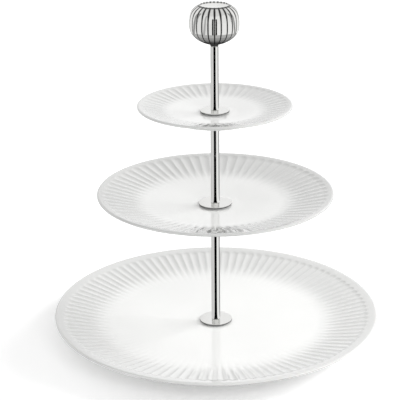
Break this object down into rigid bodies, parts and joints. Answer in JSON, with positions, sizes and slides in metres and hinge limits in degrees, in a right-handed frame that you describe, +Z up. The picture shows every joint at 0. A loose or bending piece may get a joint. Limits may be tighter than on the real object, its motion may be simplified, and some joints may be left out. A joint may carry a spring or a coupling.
{
  "type": "tiered cake stand",
  "caption": "Free-standing tiered cake stand: round fluted porcelain plates of falling size clamped on a screwed metal rod with a ribbed carrying knob.",
  "frame": {"origin": "on the table under the middle of the bottom plate's foot ring", "axes": "+Z runs up along the rod; X and Y are level, and the stand is round about Z"},
  "size_m": [0.27, 0.27, 0.28],
  "materials": {
    "porcelain": "glossy white glaze",
    "polished_rod": "mirror-polished",
    "polished_collar": "mirror-polished, turned",
    "polished_knob": "mirror-polished, ribbed",
    "satin_steel": "plain machined",
    "clear_silicone": "soft translucent silicone"
  },
  "bodies": {
    "base": {"bottom_plate": "porcelain"},
    "column": {"lower_rod": "polished_rod", "middle_rod": "polished_rod", "upper_rod": "polished_rod", "lower_collar": "polished_collar", "middle_collar": "polished_collar", "upper_collar": "polished_collar", "middle_support_washer": "polished_collar", "upper_support_washer": "polished_collar", "base_washer": "satin_steel", "base_screw": "satin_steel", "bottom_gasket_upper": "clear_silicone", "bottom_gasket_lower": "clear_silicone", "middle_gasket_upper": "clear_silicone", "middle_gasket_lower": "clear_silicone", "top_gasket_upper": "clear_silicone", "top_gasket_lower": "clear_silicone", "middle_stud": "satin_steel", "upper_stud": "satin_steel", "knob_stud": "satin_steel"},
    "middle_tier": {"middle_plate": "porcelain"},
    "top_tier": {"top_plate": "porcelain"},
    "knob_carrier": {"knob_insert": "polished_rod"},
    "knob": {"knob_body": "polished_knob", "knob_cap": "polished_knob"}
  },
  "joints": [
    {"name": "column_turn", "type": "hinge", "parent": "base", "child": "column", "pos_m": [0, 0, 0], "axis": [0, 0, 1], "continuous": true},
    {"name": "middle_plate_turn", "type": "hinge", "parent": "column", "child": "middle_tier", "pos_m": [0, 0, 0.1137], "axis": [0, 0, 1], "continuous": true},
    {"name": "top_plate_turn", "type": "hinge", "parent": "column", "child": "top_tier", "pos_m": [0, 0, 0.1926], "axis": [0, 0, 1], "continuous": true},
    {"name": "knob_rise", "type": "slide", "parent": "column", "child": "knob_carrier", "axis": [0, 0, 1], "range_m": [0, 0.007]},
    {"name": "knob_turn", "type": "hinge", "parent": "knob_carrier", "child": "knob", "pos_m": [0, 0, 0.2645], "axis": [0, 0, 1], "range_deg": [0, 3600]}
  ],
  "couplings": [
    {"joint": "knob_turn", "follows": "knob_rise", "rad_per_m": 8976}
  ]
}
